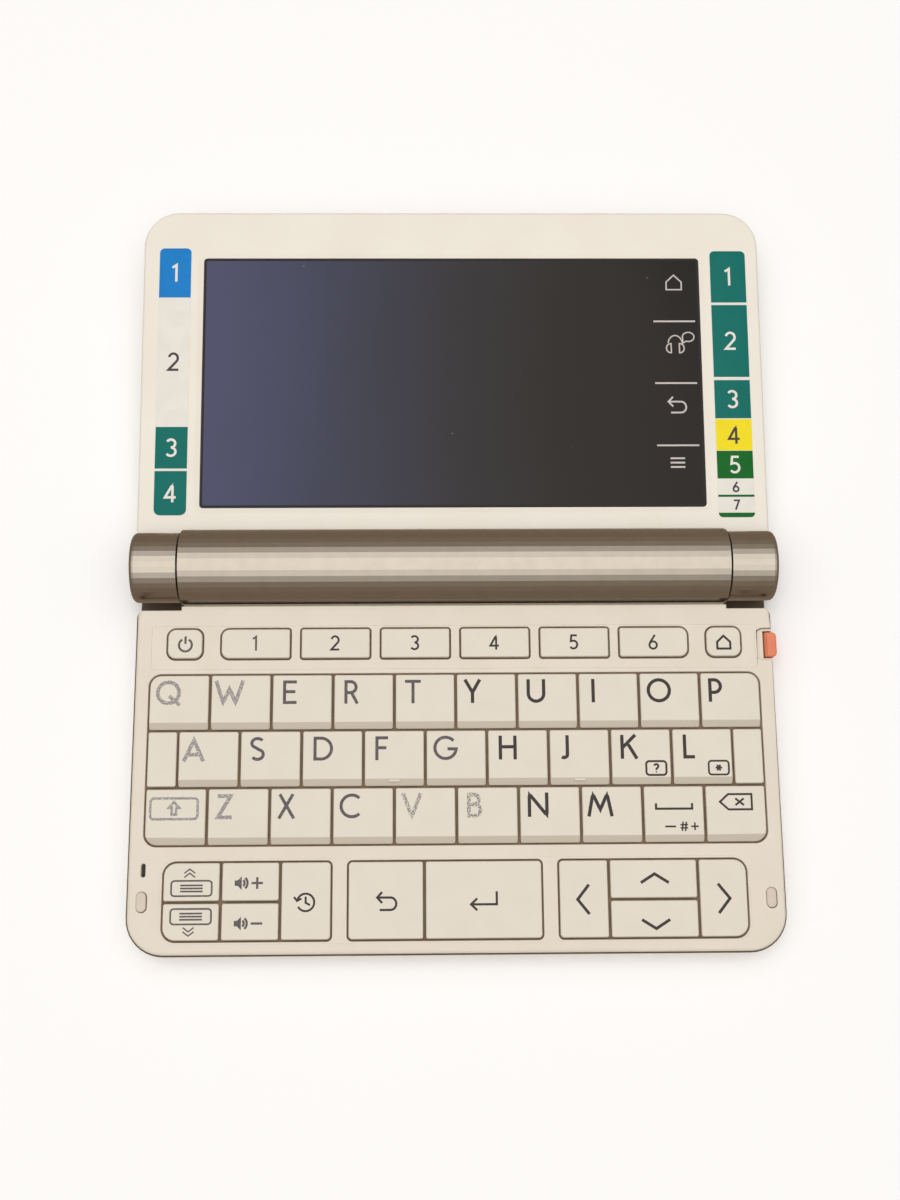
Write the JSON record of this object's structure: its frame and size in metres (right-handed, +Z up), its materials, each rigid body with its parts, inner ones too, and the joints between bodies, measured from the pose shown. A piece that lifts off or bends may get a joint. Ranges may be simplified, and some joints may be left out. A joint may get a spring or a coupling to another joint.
{
  "type": "electronic dictionary",
  "caption": "Pocket electronic dictionary lying wide open: a clamshell with a round hinge barrel, a letter keyboard, a wide screen and a side stylus.",
  "frame": {"origin": "on the table under the hinge axis, midway across, which is the bottom centre of the open object's box", "axes": "+X to the user's right along the hinge barrel, +Y away from the user towards the open lid, +Z up"},
  "size_m": [0.148, 0.1756, 0.0176],
  "materials": {
    "ivory_plastic": "fine matt moulded, warm ivory",
    "keycap_plastic": "satin moulded, cream",
    "gloss_ivory": "polished, off-white",
    "champagne_metal": "brushed along the barrel, champagne",
    "dark_glass": "black glass, polished",
    "orange_plastic": "satin moulded, orange",
    "circuit_board": "solder mask with a pale rubber key mat",
    "cell_jacket": "printed jacket, bare"
  },
  "bodies": {
    "base": {"lower_case": "ivory_plastic", "keyboard_deck": "ivory_plastic", "main_board": "circuit_board", "hinge_barrel": "champagne_metal", "battery_cells": "cell_jacket"},
    "lid": {"hinge_cap_left": "champagne_metal", "hinge_cap_right": "champagne_metal", "lid_back_cover": "gloss_ivory", "display_bezel": "gloss_ivory", "display_panel": "dark_glass"},
    "stylus": {"stylus": "orange_plastic"},
    "battery_door": {"battery_door": "champagne_metal"},
    "key_power": {"key_power": "keycap_plastic"},
    "key_home": {"key_home": "keycap_plastic"},
    "key_shortcut_1": {"key_shortcut_1": "keycap_plastic"},
    "key_shortcut_2": {"key_shortcut_2": "keycap_plastic"},
    "key_shortcut_3": {"key_shortcut_3": "keycap_plastic"},
    "key_shortcut_4": {"key_shortcut_4": "keycap_plastic"},
    "key_shortcut_5": {"key_shortcut_5": "keycap_plastic"},
    "key_shortcut_6": {"key_shortcut_6": "keycap_plastic"},
    "key_q": {"key_q": "keycap_plastic"},
    "key_w": {"key_w": "keycap_plastic"},
    "key_e": {"key_e": "keycap_plastic"},
    "key_r": {"key_r": "keycap_plastic"},
    "key_t": {"key_t": "keycap_plastic"},
    "key_y": {"key_y": "keycap_plastic"},
    "key_u": {"key_u": "keycap_plastic"},
    "key_i": {"key_i": "keycap_plastic"},
    "key_o": {"key_o": "keycap_plastic"},
    "key_p": {"key_p": "keycap_plastic"},
    "key_a": {"key_a": "keycap_plastic"},
    "key_s": {"key_s": "keycap_plastic"},
    "key_d": {"key_d": "keycap_plastic"},
    "key_f": {"key_f": "keycap_plastic"},
    "key_g": {"key_g": "keycap_plastic"},
    "key_h": {"key_h": "keycap_plastic"},
    "key_j": {"key_j": "keycap_plastic"},
    "key_k": {"key_k": "keycap_plastic"},
    "key_l": {"key_l": "keycap_plastic"},
    "key_shift": {"key_shift": "keycap_plastic"},
    "key_z": {"key_z": "keycap_plastic"},
    "key_x": {"key_x": "keycap_plastic"},
    "key_c": {"key_c": "keycap_plastic"},
    "key_v": {"key_v": "keycap_plastic"},
    "key_b": {"key_b": "keycap_plastic"},
    "key_n": {"key_n": "keycap_plastic"},
    "key_m": {"key_m": "keycap_plastic"},
    "key_space": {"key_space": "keycap_plastic"},
    "key_delete": {"key_delete": "keycap_plastic"},
    "key_heading_up": {"key_heading_up": "keycap_plastic"},
    "key_heading_down": {"key_heading_down": "keycap_plastic"},
    "key_volume_up": {"key_volume_up": "keycap_plastic"},
    "key_volume_down": {"key_volume_down": "keycap_plastic"},
    "key_history": {"key_history": "keycap_plastic"},
    "key_back": {"key_back": "keycap_plastic"},
    "key_enter": {"key_enter": "keycap_plastic"},
    "key_left": {"key_left": "keycap_plastic"},
    "key_up": {"key_up": "keycap_plastic"},
    "key_down": {"key_down": "keycap_plastic"},
    "key_right": {"key_right": "keycap_plastic"}
  },
  "joints": [
    {"name": "lid_hinge", "type": "hinge", "parent": "base", "child": "lid", "pos_m": [0, 0, 0.0089], "axis": [1, 0, 0], "range_deg": [0, 176.5]},
    {"name": "stylus_slide", "type": "slide", "parent": "base", "child": "stylus", "axis": [1, 0, 0], "range_m": [0, 0.072]},
    {"name": "battery_door_lift", "type": "slide", "parent": "base", "child": "battery_door", "axis": [0, 0, -1], "range_m": [0, 0.018]},
    {"name": "press_power", "type": "slide", "parent": "base", "child": "key_power", "axis": [0, 0, -1], "range_m": [0, 0.0008], "stiffness_N_per_m": 500},
    {"name": "press_home", "type": "slide", "parent": "base", "child": "key_home", "axis": [0, 0, -1], "range_m": [0, 0.0008], "stiffness_N_per_m": 500},
    {"name": "press_shortcut_1", "type": "slide", "parent": "base", "child": "key_shortcut_1", "axis": [0, 0, -1], "range_m": [0, 0.0008], "stiffness_N_per_m": 500},
    {"name": "press_shortcut_2", "type": "slide", "parent": "base", "child": "key_shortcut_2", "axis": [0, 0, -1], "range_m": [0, 0.0008], "stiffness_N_per_m": 500},
    {"name": "press_shortcut_3", "type": "slide", "parent": "base", "child": "key_shortcut_3", "axis": [0, 0, -1], "range_m": [0, 0.0008], "stiffness_N_per_m": 500},
    {"name": "press_shortcut_4", "type": "slide", "parent": "base", "child": "key_shortcut_4", "axis": [0, 0, -1], "range_m": [0, 0.0008], "stiffness_N_per_m": 500},
    {"name": "press_shortcut_5", "type": "slide", "parent": "base", "child": "key_shortcut_5", "axis": [0, 0, -1], "range_m": [0, 0.0008], "stiffness_N_per_m": 500},
    {"name": "press_shortcut_6", "type": "slide", "parent": "base", "child": "key_shortcut_6", "axis": [0, 0, -1], "range_m": [0, 0.0008], "stiffness_N_per_m": 500},
    {"name": "press_q", "type": "slide", "parent": "base", "child": "key_q", "axis": [0, 0, -1], "range_m": [0, 0.0008], "stiffness_N_per_m": 500},
    {"name": "press_w", "type": "slide", "parent": "base", "child": "key_w", "axis": [0, 0, -1], "range_m": [0, 0.0008], "stiffness_N_per_m": 500},
    {"name": "press_e", "type": "slide", "parent": "base", "child": "key_e", "axis": [0, 0, -1], "range_m": [0, 0.0008], "stiffness_N_per_m": 500},
    {"name": "press_r", "type": "slide", "parent": "base", "child": "key_r", "axis": [0, 0, -1], "range_m": [0, 0.0008], "stiffness_N_per_m": 500},
    {"name": "press_t", "type": "slide", "parent": "base", "child": "key_t", "axis": [0, 0, -1], "range_m": [0, 0.0008], "stiffness_N_per_m": 500},
    {"name": "press_y", "type": "slide", "parent": "base", "child": "key_y", "axis": [0, 0, -1], "range_m": [0, 0.0008], "stiffness_N_per_m": 500},
    {"name": "press_u", "type": "slide", "parent": "base", "child": "key_u", "axis": [0, 0, -1], "range_m": [0, 0.0008], "stiffness_N_per_m": 500},
    {"name": "press_i", "type": "slide", "parent": "base", "child": "key_i", "axis": [0, 0, -1], "range_m": [0, 0.0008], "stiffness_N_per_m": 500},
    {"name": "press_o", "type": "slide", "parent": "base", "child": "key_o", "axis": [0, 0, -1], "range_m": [0, 0.0008], "stiffness_N_per_m": 500},
    {"name": "press_p", "type": "slide", "parent": "base", "child": "key_p", "axis": [0, 0, -1], "range_m": [0, 0.0008], "stiffness_N_per_m": 500},
    {"name": "press_a", "type": "slide", "parent": "base", "child": "key_a", "axis": [0, 0, -1], "range_m": [0, 0.0008], "stiffness_N_per_m": 500},
    {"name": "press_s", "type": "slide", "parent": "base", "child": "key_s", "axis": [0, 0, -1], "range_m": [0, 0.0008], "stiffness_N_per_m": 500},
    {"name": "press_d", "type": "slide", "parent": "base", "child": "key_d", "axis": [0, 0, -1], "range_m": [0, 0.0008], "stiffness_N_per_m": 500},
    {"name": "press_f", "type": "slide", "parent": "base", "child": "key_f", "axis": [0, 0, -1], "range_m": [0, 0.0008], "stiffness_N_per_m": 500},
    {"name": "press_g", "type": "slide", "parent": "base", "child": "key_g", "axis": [0, 0, -1], "range_m": [0, 0.0008], "stiffness_N_per_m": 500},
    {"name": "press_h", "type": "slide", "parent": "base", "child": "key_h", "axis": [0, 0, -1], "range_m": [0, 0.0008], "stiffness_N_per_m": 500},
    {"name": "press_j", "type": "slide", "parent": "base", "child": "key_j", "axis": [0, 0, -1], "range_m": [0, 0.0008], "stiffness_N_per_m": 500},
    {"name": "press_k", "type": "slide", "parent": "base", "child": "key_k", "axis": [0, 0, -1], "range_m": [0, 0.0008], "stiffness_N_per_m": 500},
    {"name": "press_l", "type": "slide", "parent": "base", "child": "key_l", "axis": [0, 0, -1], "range_m": [0, 0.0008], "stiffness_N_per_m": 500},
    {"name": "press_shift", "type": "slide", "parent": "base", "child": "key_shift", "axis": [0, 0, -1], "range_m": [0, 0.0008], "stiffness_N_per_m": 500},
    {"name": "press_z", "type": "slide", "parent": "base", "child": "key_z", "axis": [0, 0, -1], "range_m": [0, 0.0008], "stiffness_N_per_m": 500},
    {"name": "press_x", "type": "slide", "parent": "base", "child": "key_x", "axis": [0, 0, -1], "range_m": [0, 0.0008], "stiffness_N_per_m": 500},
    {"name": "press_c", "type": "slide", "parent": "base", "child": "key_c", "axis": [0, 0, -1], "range_m": [0, 0.0008], "stiffness_N_per_m": 500},
    {"name": "press_v", "type": "slide", "parent": "base", "child": "key_v", "axis": [0, 0, -1], "range_m": [0, 0.0008], "stiffness_N_per_m": 500},
    {"name": "press_b", "type": "slide", "parent": "base", "child": "key_b", "axis": [0, 0, -1], "range_m": [0, 0.0008], "stiffness_N_per_m": 500},
    {"name": "press_n", "type": "slide", "parent": "base", "child": "key_n", "axis": [0, 0, -1], "range_m": [0, 0.0008], "stiffness_N_per_m": 500},
    {"name": "press_m", "type": "slide", "parent": "base", "child": "key_m", "axis": [0, 0, -1], "range_m": [0, 0.0008], "stiffness_N_per_m": 500},
    {"name": "press_space", "type": "slide", "parent": "base", "child": "key_space", "axis": [0, 0, -1], "range_m": [0, 0.0008], "stiffness_N_per_m": 500},
    {"name": "press_delete", "type": "slide", "parent": "base", "child": "key_delete", "axis": [0, 0, -1], "range_m": [0, 0.0008], "stiffness_N_per_m": 500},
    {"name": "press_heading_up", "type": "slide", "parent": "base", "child": "key_heading_up", "axis": [0, 0, -1], "range_m": [0, 0.0008], "stiffness_N_per_m": 500},
    {"name": "press_heading_down", "type": "slide", "parent": "base", "child": "key_heading_down", "axis": [0, 0, -1], "range_m": [0, 0.0008], "stiffness_N_per_m": 500},
    {"name": "press_volume_up", "type": "slide", "parent": "base", "child": "key_volume_up", "axis": [0, 0, -1], "range_m": [0, 0.0008], "stiffness_N_per_m": 500},
    {"name": "press_volume_down", "type": "slide", "parent": "base", "child": "key_volume_down", "axis": [0, 0, -1], "range_m": [0, 0.0008], "stiffness_N_per_m": 500},
    {"name": "press_history", "type": "slide", "parent": "base", "child": "key_history", "axis": [0, 0, -1], "range_m": [0, 0.0008], "stiffness_N_per_m": 500},
    {"name": "press_back", "type": "slide", "parent": "base", "child": "key_back", "axis": [0, 0, -1], "range_m": [0, 0.0008], "stiffness_N_per_m": 500},
    {"name": "press_enter", "type": "slide", "parent": "base", "child": "key_enter", "axis": [0, 0, -1], "range_m": [0, 0.0008], "stiffness_N_per_m": 500},
    {"name": "press_left", "type": "slide", "parent": "base", "child": "key_left", "axis": [0, 0, -1], "range_m": [0, 0.0008], "stiffness_N_per_m": 500},
    {"name": "press_up", "type": "slide", "parent": "base", "child": "key_up", "axis": [0, 0, -1], "range_m": [0, 0.0008], "stiffness_N_per_m": 500},
    {"name": "press_down", "type": "slide", "parent": "base", "child": "key_down", "axis": [0, 0, -1], "range_m": [0, 0.0008], "stiffness_N_per_m": 500},
    {"name": "press_right", "type": "slide", "parent": "base", "child": "key_right", "axis": [0, 0, -1], "range_m": [0, 0.0008], "stiffness_N_per_m": 500}
  ]
}
